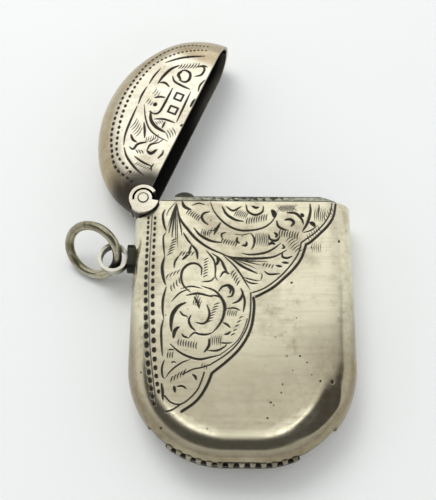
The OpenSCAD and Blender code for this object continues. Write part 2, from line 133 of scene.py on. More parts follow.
# Body: each cut is its greatest width and the points it runs through. It swells in the middle.
BODY_CUTS = [
    # scalloped line beside the dots
    (0.42, (-12, 18.3), (-12.3, 17.4), (-12.1, 15.9), (-11.7, 14.7)),
    (0.32, (-11.7, 14.5), (-12.1, 13.8), (-12, 12.1), (-11.8, 10.6)),
    (0.52, (-11.8, 10.6), (-12.1, 9), (-11.9, 7.3), (-11.5, 6.1)),
    (0.42, (-11.4, 5.8), (-11.8, 3.9), (-11.8, 2.1), (-11.6, 1)),
    (0.38, (-11.6, 1), (-11.9, -0.7), (-11.8, -2.7), (-11.6, -4.7)),
    (0.34, (-11.3, -5.2), (-11.6, -6.4), (-11.5, -7.5), (-11.2, -8)),
    (0.44, (-11.6, -8.6), (-11.4, -9.8), (-11.3, -11)),
    # leaf spray that hangs from the mouth
    (0.18, (-10.3, 19.7), (-11.4, 18.2), (-11.8, 17.1)),
    (0.2, (-10.4, 19.2), (-11, 17.1), (-11.5, 15.4)),
    (0.34, (-10.3, 19.4), (-10.9, 16.6), (-11.3, 14.4)),
    (0.32, (-10.2, 19.3), (-10.6, 16.4), (-10.8, 13.7)),
    (0.22, (-10.2, 19.1), (-10.3, 16), (-10.2, 13.2)),
    (0.18, (-10.1, 18), (-10, 14.8), (-9.9, 12.2)),
    (0.26, (-10, 17.5), (-9.5, 15.4), (-9.3, 14)),
    # great stem, from the spray across to the right
    (0.46, (-10.2, 19.2), (-9.7, 16.9), (-8.4, 15), (-6.9, 13.3), (-4.9, 11.9), (-2.8, 11)),
    (0.4, (-3.7, 11.3), (-1.9, 10.6), (0.1, 10.4), (2.3, 10.4), (4.7, 10.7), (6.7, 11.8)),
    (0.44, (-7.5, 15.3), (-6.5, 14.1), (-4.9, 13.2), (-3.2, 12.9)),
    (0.36, (-0.2, 11.2), (1.2, 11), (3.3, 11.3), (4.7, 12), (5.8, 12.9)),
    # bowl of scrolls under the mouth
    (0.36, (-5, 19.6), (-4.5, 18.2), (-3.4, 16.7), (-1.9, 15.5), (0, 14.9), (2.6, 15.2), (4.3, 16.2),
     (5.3, 17.8)),
    (0.46, (-3.2, 18.9), (-2.5, 17.6), (-1.2, 16.7), (0.1, 16.4)),
    (0.36, (-2.6, 18.9), (-1.5, 18.2), (-0.2, 18.9)),
    (0.18, (-1.3, 14.3), (0, 14.2), (1.3, 14.5)),
    (0.26, (-7.9, 19), (-6.8, 19.4), (-5.8, 19.1)),
    (0.52, (-9.4, 19.7), (-9, 18.8), (-8, 18.3)),
    (0.42, (-5.1, 18), (-6, 17.7), (-6.3, 17.1), (-6, 16.4), (-5.3, 15.8)),
    (0.22, (-5.3, 14.9), (-4.4, 14.9), (-3.7, 15.9)),
    (0.4, (-3.4, 16.2), (-3.9, 15.2), (-4.4, 14.2)),
    (0.3, (-3.1, 13.4), (-3.2, 14.3), (-2.5, 14.6)),
    (0.4, (0.5, 19.2), (0.8, 18.1), (1.9, 17.5), (3, 18), (3.2, 19)),
    (0.44, (1.4, 19), (2, 18.7), (2.5, 18.8)),
    (0.8, (4.5, 18.3), (4.8, 17.8), (4.9, 17.1)),
    (0.4, (-0.8, 13.8), (-0.9, 13.2), (-0.5, 12.8)),
    (0.34, (1.2, 14.5), (1.7, 13.7), (1.7, 12.6), (1.3, 11.8)),
    (0.42, (0.6, 13.1), (0.5, 12.5), (-0.1, 12.5)),
    (0.42, (4, 14.2), (4.2, 13.5), (5.1, 13.3), (5.7, 14)),
    (0.46, (4.8, 14.6), (5.2, 14.2), (5, 13.8)),
    (0.5, (3.9, 12.6), (4.4, 12.9), (4.9, 12.7)),
    (0.34, (6, 12.7), (6.3, 12.2), (5.9, 12)),
    # ring scroll near the right of the mouth
    (0.42, (5.2, 16.6), (5.4, 15.7), (6.1, 15.2), (6.9, 15)),
    (0.48, (6.8, 17.9), (8.1, 17.8), (9, 16.9), (9.3, 16)),
    (0.52, (6.4, 16.7), (7.3, 16.8), (7.8, 16.3), (7.4, 15.6)),
    (0.48, (10.4, 19.4), (10.4, 18), (9.9, 16.2), (9.1, 14.8)),
    (0.6, (9, 17.7), (9.3, 17.3)),
    (0.7, (10.3, 16.3), (10.7, 16.1), (11, 15.7)),
    (0.26, (11.8, 19.3), (11.7, 18.3), (11.5, 17.2)),
    (0.24, (9.1, 14.6), (10.4, 15), (11.4, 15.8)),
    # fan of petals below the stem
    (0.3, (-5.4, 11.5), (-4.4, 10.2), (-4.1, 8.8), (-4.1, 7.5), (-3.7, 6.8)),
    (0.34, (-4.7, 11.2), (-3.5, 10.3), (-2.8, 9.2), (-2.2, 7.8)),
    (0.3, (-2.9, 10.8), (-1.1, 9), (0.2, 7), (1.1, 5.4)),
    (0.44, (-1.9, 10.5), (0, 9.1), (2.2, 8)),
    (0.2, (-1.6, 10.4), (0.4, 9.5), (2.2, 8.7)),
    (0.2, (-1.3, 10.4), (0.8, 9.8), (2.9, 9.3)),
    (0.2, (-0.9, 10.3), (1.4, 10), (3.9, 9.9)),
    (0.4, (-3.2, 9.7), (-2.7, 8.8), (-2.3, 7.9)),
    (0.36, (3.2, 8.4), (4, 7.9), (5.6, 8)),
    (0.4, (5, 9.3), (5.9, 9.1)),
    (0.4, (5.9, 9.8), (6.9, 9.7)),
    (0.4, (6, 11.4), (6, 10.7), (6.7, 10.5), (7.5, 10.8)),
    (0.3, (0.3, 7), (1.2, 6.5), (2.3, 6.4)),
    # split leaf and the curl under it
    (0.34, (-9.1, 14.5), (-8.3, 13.2), (-7.7, 12.5)),
    (0.44, (-7.8, 12.6), (-7, 11.5), (-6.8, 10.2)),
    (0.36, (-7.8, 12.5), (-8, 11.7), (-8.2, 11)),
    (0.42, (-8.2, 10.9), (-8.6, 10.6), (-9.1, 10.1)),
    (0.34, (-9.6, 10.8), (-10.2, 9.8), (-10.3, 8.8)),
    (0.42, (-6.2, 7.6), (-6.2, 8.8), (-7, 9.5), (-8.1, 9.4), (-9, 8.5), (-9.2, 7.2), (-8.8, 6), (-7.8, 5)),
    (0.28, (-9.3, 5.5), (-7.7, 5.9), (-6, 5.6)),
    (0.28, (-7.9, 5.5), (-9.3, 4.9), (-10.6, 3.5)),
    # two ring scrolls right of the curl
    (0.44, (-3.6, 5.1), (-3, 5.9), (-2, 6.1), (-1.4, 5.4), (-1.6, 4.5), (-2.3, 4.3)),
    (0.42, (-0.3, 5.7), (0, 4.8), (-0.5, 3.8), (-1.5, 3.3)),
    (0.38, (-0.1, 5.3), (0.3, 3.7), (0.1, 2)),
    (0.3, (-2.4, 2.5), (-1.2, 2.6), (-0.3, 2.2)),
    # great scroll
    (0.4, (-8.4, 4.5), (-6.6, 4.8), (-4.5, 4.3)),
    (0.44, (-5, 4.5), (-3.4, 4.3), (-2.7, 2.8), (-2.9, 1.1), (-3.6, -0.2), (-4.4, -1.1)),
    (0.34, (-4.2, -1), (-5.1, -1.4), (-6.2, -1.4), (-7.1, -1.2), (-7.9, -2)),
    (0.64, (-8.4, 3.4), (-9.5, 2.8), (-10.3, 1.6), (-10.5, 0.2), (-10.4, -1)),
    (0.4, (-5.3, 3.1), (-4.9, 1.9), (-5.1, 0.8), (-5.8, 0.2), (-6.9, 0.4)),
    (0.4, (-7.6, 1.5), (-7.9, 0.7), (-7.6, -0.2), (-6.9, -0.9)),
    (0.32, (-9.3, 2.1), (-8.8, 1.5), (-8.1, 1.3)),
    (0.4, (-7.2, 4.3), (-6.7, 3.4), (-6.4, 2.5)),
    (0.6, (-9.3, -0.3), (-9.9, -0.9), (-10.1, -2)),
    (0.34, (-8.9, -1.3), (-8.6, -1.7), (-7.9, -2)),
    (0.38, (-10.6, -2.8), (-9.4, -3.9), (-7.9, -4.7), (-6.2, -5.1), (-4.7, -4.8), (-3.1, -4.4)),
    (0.44, (-4.9, -2), (-4.9, -3.1), (-5.6, -4.1)),
    (0.34, (-5.1, -3.8), (-3.7, -3.8), (-2.6, -3.2), (-2.3, -2.8)),
    (0.26, (-3.5, -2.6), (-2.4, -2.7), (-1.4, -2.6)),
    (0.36, (-2.9, 0.4), (-2.3, 0.1), (-1.8, -0.4)),
    (0.36, (-2.7, -1.4), (-2.2, -1.3), (-1.7, -0.9)),
    # foot of the panel
    (0.28, (-7.5, -5.1), (-8.9, -5.7), (-10.3, -6.8), (-11.1, -7.9)),
    (0.26, (-10.9, -3.8), (-10.4, -3.7), (-9.9, -3.8)),
    (0.26, (-10.3, -5.7), (-10, -5.5), (-9.6, -5.6)),
    (0.4, (-7.2, -7.3), (-6.8, -7.6), (-6.6, -8.1)),
    (0.46, (-9.8, -9), (-9.6, -9.9)),
    (0.34, (-9.4, -9.1), (-8.6, -9), (-8, -9.4)),
    # smaller curls and veins between the scrolls
    (0.28, (-4.1, 7.5), (-4.8, 6.8), (-6.2, 6.6)),
    (0.34, (-3.4, 7.4), (-2.8, 8.2), (-1.9, 7.9)),
    (0.34, (-6.2, 6), (-4.1, 5.2), (-2.7, 3.5), (-2.4, 2.2)),
    (0.5, (-3.9, 10.5), (-3.7, 9.9), (-4.1, 9.2)),
    (0.16, (-2.3, 10.7), (0, 10), (3, 9.9)),
    (0.16, (-2.3, 10.6), (-0.2, 9.3), (1.6, 8.2)),
    (0.24, (0, 7.4), (1.9, 6.9), (2.7, 6.9)),
    (0.2, (2.7, 6.9), (2.9, 7.7), (2.7, 8.1)),
    (0.16, (-5.6, 11.7), (-4.4, 10), (-3.9, 8.8)),
    (0.36, (-2.3, 6), (-1.8, 5.5), (-1.9, 4.8)),
]

# Body: plain lines of one width. They make the lobed border of the panel.
BODY_LINES = [
    (0.44, (14.4, 19.4), (14, 17.5), (13.1, 15.9), (11.8, 14.5), (10.3, 13.1), (9.6, 12.7)),
    (0.25, (13.8, 19.5), (13.4, 17.8), (12.5, 16.2), (11.1, 14.7), (9.7, 13.6), (8.9, 13)),
    (0.44, (9.6, 12.7), (9.3, 11.7), (8.7, 10.2), (7.5, 8.6), (6.1, 7.2), (4.5, 5.8), (2.8, 4.8), (2, 4.4)),
    (0.25, (8.9, 13), (8.5, 11.5), (7.8, 10.2), (6.6, 8.6), (5, 7), (3.2, 5.7), (1.5, 5)),
    (0.44, (1.6, 4.2), (1.7, 3.1), (1.6, 1.7), (1.3, -0.1), (0.6, -1.9), (-0.6, -3.7), (-2.2, -5.3), (-4.4, -7.1)),
    (0.25, (1.2, 5), (1.2, 3.3), (1.1, 1.7), (0.7, -0.1), (-0.1, -1.8), (-1.2, -3.3), (-2.7, -4.6), (-4.7, -5.9)),
    (0.25, (-4.7, -5.9), (-5.9, -6.3), (-7.2, -6.6), (-8.6, -7.3)),
    (0.17, (0.7, 1), (0.2, -0.6), (-0.6, -2.1), (-1.8, -3.3), (-3.4, -4.5)),
    (0.44, (-4.4, -7.1), (-5, -8.7), (-5.9, -10.3), (-7, -11.5), (-8.6, -12.6)),
    (0.25, (-8.8, -11.6), (-9.8, -12.3), (-10.9, -12.7)),
    (0.25, (-5.5, -7), (-5.9, -8.3), (-6.5, -9.6), (-7.7, -10.9), (-8.9, -11.6), (-10.2, -11.3), (-11.1, -10.4)),
    (0.17, (-14, 17.4), (-14.1, 8), (-13.9, 2.9), (-13.5, -3), (-12.9, -7.5), (-12.3, -11.7)),
]

# Body: rows of punched dots, each a size as a share of the pitch, the pitch along it and the points it runs through
BODY_DOTS = [
    (0.56, (0.8, 1.2, 1.45, 1), (
        (-14.6, 17.1), (-14.6, 8), (-14.4, 3), (-14, -3), (-13.4, -7.5), (-12.6, -11.9))),
    (0.5, (0.9, 1.15, 1.45, 1), (
        (-13.5, 16.9), (-13.5, 8.6), (-13.3, 2.5), (-12.9, -3.2), (-12.4, -7.5), (-11.8, -10.7))),
]

# Body: corrosion pits, each a size and a place
BODY_PITS = [
    (0.45, (14.7, 13.3)), (0.38, (7.3, 6.6)), (0.32, (8.3, -4.5)), (0.26, (9.3, -5.4)), (0.26, (5.7, -8.6)),
    (0.24, (5.5, -9.8)), (0.32, (4, -11.2)), (0.22, (4.4, -11.6)), (0.3, (3.5, -13.4)), (0.34, (11.1, -8.1)),
    (0.55, (12.8, -8.2)), (0.3, (-14.7, -7)), (0.42, (-11.7, -15)), (0.22, (9.9, -7.2)), (0.2, (7.2, -6.6)),
    (0.24, (10.4, 12.2)), (0.22, (7.9, 1.2)),
]

# Body: rows of short cuts by their width. Each row is how many, their length and angle, and the ends of the row.
BODY_HATCH = {
    0.21: [
        (7, 1.1, 55, (-8.4, 18), (-6.6, 16.8)), (6, 1.1, 30, (-10.4, 13.3), (-11, 11)),
        (7, 0.8, 30, (-5.5, 10.2), (-5.6, 7.5)), (7, 0.9, 60, (-3.1, 13.2), (-0.9, 12.7)),
        (9, 1.2, 80, (0.7, 16.5), (3.7, 17.1)), (8, 1.3, 78, (5.7, 14.6), (8.4, 14.1)),
        (4, 0.7, 65, (3.2, 9.4), (4.5, 9.1)), (7, 1, 22, (-3.8, 3.2), (-4.9, 0.5)),
        (8, 1.1, 85, (-9.3, -2.6), (-6.7, -3.1)), (5, 0.7, 30, (-0.2, 1.2), (-1.4, -1.4)),
        (5, 1.1, 72, (-10.1, -8), (-8.3, -7)), (3, 1, 85, (-10.8, -4.5), (-10.1, -4.5)),
        (5, 1.1, 62, (-1.5, 8.1), (-0.6, 6.5)), (4, 1, 60, (-11.2, 7.5), (-9.6, 8.2)),
        (4, 1.1, 100, (-10.6, 5.6), (-9.4, 6.8)), (5, 0.9, 55, (-9.3, 11.1), (-7.5, 11.1)),
    ],
    0.16: [
        (7, 1.4, 60, (-1, 17.8), (0.7, 17.4)), (8, 2.1, 90, (2.1, 13.5), (4, 13.4)),
        (6, 2.3, 85, (11.2, 17.6), (12.7, 17.5)), (5, 1.1, 80, (-6.2, 14.6), (-5, 14.4)),
        (6, 1.5, 85, (-4.6, -2.3), (-3.1, -2.2)), (5, 1, 75, (-2.1, 1.9), (-0.9, 1.8)),
        (7, 1.5, 40, (7.1, 13.6), (8.7, 11.5)), (4, 1, 80, (-7.2, 3.5), (-6.4, 3.3)),
        (6, 1.1, 110, (10, 13.8), (11.7, 15.3)), (5, 1.2, 110, (12.6, 17.1), (13.9, 18.5)),
        (4, 1.1, 75, (-6.8, 4.6), (-6.2, 3.2)), (3, 0.9, 80, (-5.8, -6), (-5.1, -6.2)),
        (5, 1, 80, (-5.7, 14.4), (-3.8, 15.2)),
    ],
    0.14: [(7, 1.5, 50, (5.8, 18.6), (8, 18.7)), (7, 1.5, 130, (5.8, 18.6), (8, 18.7))],
    0.12: [(5, 1.7, 88, (10.6, 12.3), (11.9, 12.2))],
}

# Lid: the same lists, for the lid in its closed place
LID_CUTS = [
    # broken line inside the dots
    (0.44, (-11.8, 21.7), (-11, 23.8), (-9.8, 25.7), (-8.5, 26.8)),
    (0.4, (-8.2, 27), (-6.4, 27.6), (-4, 27.9), (-0.9, 28.1)),
    (0.36, (-0.5, 28.1), (1.2, 28.3), (3, 28.2)),
    (0.34, (3.6, 28.1), (5.2, 28), (7, 27.6)),
    (0.4, (8.3, 27.4), (9.8, 25.8), (10.9, 24.2), (12.1, 21.8)),
    # arch left of the middle
    (0.3, (-4.8, 20.8), (-4.6, 22.8), (-3.9, 24.5), (-2.4, 25.9), (-0.2, 27.2)),
    (0.62, (-3.5, 21.9), (-3.2, 23.6), (-2.4, 24.9), (-0.9, 25.7)),
    (0.38, (-3, 22.7), (-1.7, 22.7)),
    (0.4, (-2, 24.6), (-1.4, 23.1), (-1.3, 21.2)),
    (0.44, (-3.2, 25.8), (-4.4, 25.1), (-5.7, 24.5)),
    (0.46, (-6, 26.8), (-6.7, 26.1), (-6.9, 25.3)),
    # scrolls near the hinge
    (0.44, (-8.1, 26.1), (-8.2, 25.3), (-7.1, 25), (-6.2, 23.8)),
    (0.6, (-7.6, 23.2), (-7.8, 22.4), (-6.8, 21.8)),
    (0.38, (-7.6, 23.2), (-6.4, 23.1), (-5.5, 22)),
    (0.36, (-8.2, 21), (-7.2, 20.7), (-6.5, 20.8)),
    (0.4, (-9.3, 24.6), (-9.7, 23), (-9.8, 21.2)),
    (0.34, (-10.6, 21), (-10, 21.3), (-9.3, 21.2)),
    # scroll above the two plain stamps
    (0.44, (-1, 25.9), (-1.1, 24.9), (-0.4, 24.3), (1.5, 24.2), (4.4, 24.2)),
    (0.4, (1.6, 26.2), (2.1, 25.4), (2.3, 24.6)),
    (0.7, (0.3, 25.6), (0.7, 25.5)),
    (0.38, (-1.1, 21), (1.7, 21.1), (4.9, 21.2)),
    (0.4, (-1.5, 20.1), (-1.1, 19.9)),
    (0.46, (2.3, 20.1), (3.2, 20.1), (4, 20)),
    (0.34, (5.4, 20.1), (6.6, 20.3), (7.9, 20)),
    # scrolls at the free end
    (0.52, (4.2, 26.8), (5.7, 26.6), (7.5, 26), (8.8, 25)),
    (0.42, (4.5, 26.6), (4.8, 25.8), (4.4, 24.8)),
    (0.42, (6.5, 25.2), (5.7, 24.5), (5.4, 23.1), (5.3, 21.5)),
    (0.48, (7.8, 24.4), (8.3, 23.7), (8, 22.7), (6.9, 22.4), (6.2, 22.9), (6.2, 23.9)),
    (0.56, (8, 24.1), (7.1, 24.4), (6.3, 23.6)),
    (0.42, (7.8, 21.8), (8.6, 20.9), (9.8, 20.9), (10.1, 21.7)),
    (0.4, (9.7, 22), (10.2, 21.4), (10.3, 20.6)),
]

# Lid: frames of the two plain stamps, each the width of its line and two opposite corners
LID_STAMPS = [
    (0.36, (0.1, 21.8), (1.3, 23.1)),
    (0.36, (2.7, 22), (3.9, 23.2)),
]

LID_DOTS = [
    (0.54, (0.95, 1, 0.85, 0.6), (
        (-13.4, 23.1), (-12.2, 26.5), (-9.3, 28.7), (-5.8, 30.2), (-0.9, 31), (2.6, 30.9), (7.7, 30),
        (11.2, 27.9), (13.2, 25.3), (14.2, 22.1))),
    (0.5, (0.95, 1, 0.85, 0.6), (
        (-12, 24), (-10.2, 27.1), (-7.5, 28.5), (-3.6, 29.6), (0, 30), (3.4, 29.9), (7.5, 28.9),
        (10.7, 26.4), (12.6, 23.6), (13.2, 22.1))),
]

LID_HATCH = {
    0.18: [(5, 2.2, 8, (-5.1, 25.8), (-4, 27.3)), (4, 1.6, -48, (-3.9, 21.5), (-2.8, 20.7))],
    0.16: [
        (3, 1.4, 8, (2.3, 25.9), (2.7, 26.7)), (3, 0.9, 8, (0.4, 26.2), (0.7, 27)),
        (6, 1, -10, (-5.9, 24.2), (-4.7, 22.7)), (5, 1.1, 20, (-12.4, 24.5), (-11.9, 22.6)),
        (7, 0.8, 35, (-10.3, 23.8), (-10.3, 21.5)),
    ],
    0.21: [
        (7, 1.3, 10, (8.7, 24.8), (9.9, 22.2)), (3, 1.1, 30, (-5.6, 23.3), (-5.1, 21.9)),
        (3, 0.8, -53, (-8.4, 24.6), (-8.1, 23.8)),
    ],
    0.15: [(4, 0.8, -60, (-2.6, 23.9), (-1.9, 23.2))],
}

# Values at the points of a shell that its silver reads: the cut value also carries the painted shade beside the lid's
# hinge, and the inside value marks the inside, which is painted dark as a painted shade
SHADES = ("cut", "inside", "edge")

# Colours of the silver, of what lies on it and of the bare metal in its scratches; the black is the patina in the
# cuts and also painted shade in hollows and by the hinge
SILVER = (0.8, 0.76, 0.57)
TARNISH = (0.38, 0.3, 0.18)
BLACK_PATINA_AND_SHADE = (0.014, 0.012, 0.008)
RUST = (0.44, 0.3, 0.17)
PITTED = (0.07, 0.05, 0.03)
BARE = (0.93, 0.9, 0.76)


# Shells

class Shell:
    """One half of a full-round case, unrolled flat: u runs across, v from the mouth at 0 down to the end.

    A crowned end is an arc whose middle lies 3 crowns across and 4 crowns up from the middles of the corners. Its
    radius is 5 crowns larger than theirs, so it runs into them without a step.
    """

    REACH = EDGE * math.pi / 2

    def __init__(self, height, corner, crown, hinge_v, mouth_v, worn=False):
        self.corner_u = HALF_WIDTH - corner
        self.corner_v = corner + crown - height
        self.flat = corner - EDGE
        self.crown = crown
        self.hinge_v = hinge_v
        self.mouth_v = mouth_v
        self.worn = worn

    def beyond(self, plan):
        """Distance past the edge of the flat face, and the outward direction, of plan points."""
        across = np.maximum(np.abs(plan[:, 0]) - self.corner_u, 0)
        down = np.maximum(self.corner_v - plan[:, 1], 0)
        radius = np.hypot(across, down)
        out = np.stack([np.sign(plan[:, 0]) * across, -down], 1) / np.maximum(radius, TINY)[:, None]
        if self.crown:
            from_middle = plan - (0, self.corner_v + 4 * self.crown)
            length = np.maximum(np.linalg.norm(from_middle, axis=1), TINY)
            curved = 4 * np.abs(from_middle[:, 0]) <= -3 * from_middle[:, 1]
            radius = np.where(curved, length - 5 * self.crown, radius)
            out = np.where(curved[:, None], from_middle / length[:, None], out)
        return radius - self.flat, out

    def wrap(self, plan, lift):
        """Places plan points on the shell, raised by lift, with z from the middle of the thickness."""
        past, out = self.beyond(plan)
        curved = np.maximum(past, 0)
        reach = (EDGE + lift) * np.sin(np.minimum(curved / EDGE, math.pi / 2))
        soft, power = self.softness(plan, out)
        run = np.maximum(np.where(past > 0, reach, past) + soft, 0)
        height = (EDGE + lift) * np.sqrt(np.maximum(1 - (run / (EDGE + lift + soft)) ** power, 0))
        if self.worn:
            height = np.minimum(height, EDGE + lift - self.facet(np.where(past > 0, reach, past), out))
            sunk = (np.abs(bend_of(out)) < SLOT_BEND) & (past > 0) & (height < SLOT_HALF)
            reach = np.where(sunk, np.minimum(reach, EDGE - SLOT_SINK + lift / SLOT_THIN), reach)
        flat = self.clear_hinge(plan + out * (reach - curved)[:, None])
        return np.column_stack([flat, height])

    def softness(self, plan, out):
        """How far the worn round of the body runs into the face, and the power of its curve.

        The right side keeps a fuller curve, which fades out towards the mouth.
        """
        if not self.worn:
            return np.zeros(len(out)), np.full(len(out), NEW_POWER)
        softs = smooth_path(BASE_SOFTS, BEND_STEP)
        soft = np.maximum(np.interp(bend_of(out), *softs.T), 0) * ease(-plan[:, 1], *SOFT_DEPTHS)
        towards_base = ease(-out[:, 1], 0.05, 0.6)
        off_right = ease(-out[:, 0], -0.7, 0)
        towards_right = ease(out[:, 0], 0.8, 1)
        base = (BASE_POWER - NEW_POWER) * towards_base * off_right
        side = (SIDE_POWER - NEW_POWER) * towards_right * ease(-plan[:, 1], *SIDE_DEPTHS)
        return soft, NEW_POWER + base + side

    def facet(self, distance, out):
        """Depth of the worn facet below the face, at a distance past the edge of the face."""
        bend = bend_of(out)
        ahead = distance - FACET_START + FACET_LEAN * bend
        run = np.where(ahead > FACET_EASE, ahead, np.maximum(ahead + FACET_EASE, 0) ** 2 / (4 * FACET_EASE))
        return np.interp(bend, *smooth_path(FACET_SLOPES, BEND_STEP).T) * run

    def browning(self, plan):
        """Brown tarnish, from 0 to 1 at the middle of the edge.

        On the lid it covers the free end. On the body it grows towards the base and the right, and a ridge along the
        base is worn bright.
        """
        past, out = self.beyond(plan)
        share = np.clip(past / self.REACH, 0, 1)
        if not self.worn:
            face = 0.1 + 0.08 * ease(plan[:, 0], -4, 8)
            free_end = 0.62 * ease(plan[:, 0], 8.5, 12)
            return np.minimum(np.maximum(face + 1.5 * share, free_end), 1)
        depth = -plan[:, 1]
        base = 0.44 * ease(depth, 6, 29)
        lower_right = 0.5 * ease(depth, 9, 25) * ease(plan[:, 0], -4, 13)
        face = np.maximum(base, lower_right)
        edge = share * (0.4 + 0.45 * ease(depth, 12, 28)) + 0.25 * face
        wider_at_right = 0.4 * ease(out[:, 0], 0, 0.5)
        towards_base = ease(-out[:, 1], 0.6, 0.85)
        off_middle = ease(np.abs(out[:, 0]), 0.05, 0.3)
        ridge = ease(past + wider_at_right, -0.8, -0.2) * ease(past, 1.0, 0.4) * towards_base
        worn_bright = 0.85 * ridge * (0.25 + 0.75 * off_middle)
        return np.minimum(np.maximum(face, edge) * (1 - worn_bright), 1)

    def lid_hinge_shade(self, plan):
        """Painted shade on the lid, from 0 to 1 beside the hinge. It reaches further on the round edge than on the
        face.
        """
        if self.worn:
            return np.zeros(len(plan))
        away = np.linalg.norm(self.wrap(plan, 0)[:, :2] - (HINGE_X, self.hinge_v), axis=1)
        edge = ease(away, 8.4, 4.4) * ease(self.beyond(plan)[0] / self.REACH, 0.1, 0.5)
        face = ease(away, 6.4, 3.6)
        return 0.95 * np.maximum(edge, face)

    def slot_rows(self):
        """Plan points on both sides of the edge of the striker's slot, which keep it sharp."""
        corner, out = base_corners(-SLOT_BEND, SLOT_BEND, SLOT_POINTS, self.corner_v)
        soft, power = self.softness(corner + out * (self.flat + SLOT_RUN), out)
        run = (EDGE + soft) * (1 - (SLOT_HALF / EDGE) ** 2) ** (1 / power) - soft
        edge = self.flat + EDGE * np.arcsin(run / EDGE)
        return np.concatenate([corner + out * (edge + gap)[:, None] for gap in (-SLOT_SHARP, SLOT_SHARP)])

    def clear_hinge(self, flat):
        """Moves points out of the notch round the hinge."""
        away = flat - (HINGE_X, self.hinge_v)
        gap = np.maximum(np.linalg.norm(away, axis=1), TINY)
        return flat + away * np.maximum(NOTCH_RADIUS / gap - 1, 0)[:, None]

    def notch(self):
        """Plan points down the notch, from the mouth to the middle of the side."""
        start = math.degrees(math.asin((self.mouth_v - self.hinge_v) / NOTCH_RADIUS))
        turn = np.radians(np.arange(start, NOTCH_END, -math.degrees(RIM_STEP / NOTCH_RADIUS) / 2))
        ring = np.column_stack([HINGE_X + NOTCH_RADIUS * np.cos(turn), self.hinge_v + NOTCH_RADIUS * np.sin(turn)])
        past, out = self.beyond(ring)
        ring, past, out = ring[past < EDGE], past[past < EDGE], out[past < EDGE]
        spread = EDGE * np.arcsin(np.clip(past / EDGE, 0, 1))
        ring = ring + out * (spread - np.maximum(past, 0))[:, None]
        last = ring[-1] + out[-1] * (self.REACH - spread[-1])
        return np.vstack([ring, last])

    def rim(self):
        """Plan points round the edge of the half shell, and how many of them belong to the free edge."""
        side = HALF_WIDTH - EDGE + self.REACH
        radius = self.flat + self.REACH
        notch = self.notch()
        mouth = np.linspace(side, notch[0, 0], int((side - notch[0, 0]) / RIM_STEP))[:-1]
        points = [np.column_stack([mouth, np.full(len(mouth), self.mouth_v)]), notch]
        end = notch[-1]
        runs = max(int((end[1] - self.corner_v) / RIM_STEP), 0)
        if runs:
            points.append(np.column_stack([np.full(runs, -side), np.linspace(end[1], self.corner_v, runs + 1)[1:]]))
        begin = 180 if runs else math.degrees(math.atan2(end[1] - self.corner_v, end[0] + self.corner_u)) % 360
        tilt = math.degrees(math.asin(3 / 5)) if self.crown else 0
        points.append(self.arc(-self.corner_u, self.corner_v, radius, begin, 270 - tilt))
        if self.crown:
            middle_v = self.corner_v + 4 * self.crown
            points.append(self.arc(0, middle_v, radius + 5 * self.crown, 270 - tilt, 270 + tilt))
        else:
            runs = int(2 * self.corner_u / RIM_STEP)
            base = np.linspace(-self.corner_u, self.corner_u, runs + 1)[1:]
            points.append(np.column_stack([base, np.full(runs, self.corner_v - radius)]))
        points.append(self.arc(self.corner_u, self.corner_v, radius, 270 + tilt, 360))
        runs = max(int((self.mouth_v - self.corner_v) / RIM_STEP), 1)
        rise = np.linspace(self.corner_v, self.mouth_v, runs + 1)[1:-1]
        points.append(np.column_stack([np.full(len(rise), side), rise]))
        return np.concatenate(points), len(mouth) + len(notch)

    def arc(self, u, v, radius, low, high):
        """Plan points on an arc, without its first point."""
        turn = np.radians(np.linspace(low, high, int(radius * math.radians(high - low) / RIM_STEP) + 2)[1:])
        return np.column_stack([u + radius * np.cos(turn), v + radius * np.sin(turn)])

    def inside(self, plan, margin):
        """Which plan points lie on the half shell, clear of its edge by a margin."""
        past, out = self.beyond(plan)
        reach = EDGE * np.sin(np.clip(past / EDGE, 0, math.pi / 2))
        flat = plan + out * (reach - np.maximum(past, 0))[:, None]
        clear = np.linalg.norm(flat - (HINGE_X, self.hinge_v), axis=1) > NOTCH_RADIUS + margin / 2
        return (past < self.REACH - margin) & (plan[:, 1] < self.mouth_v - margin) & clear


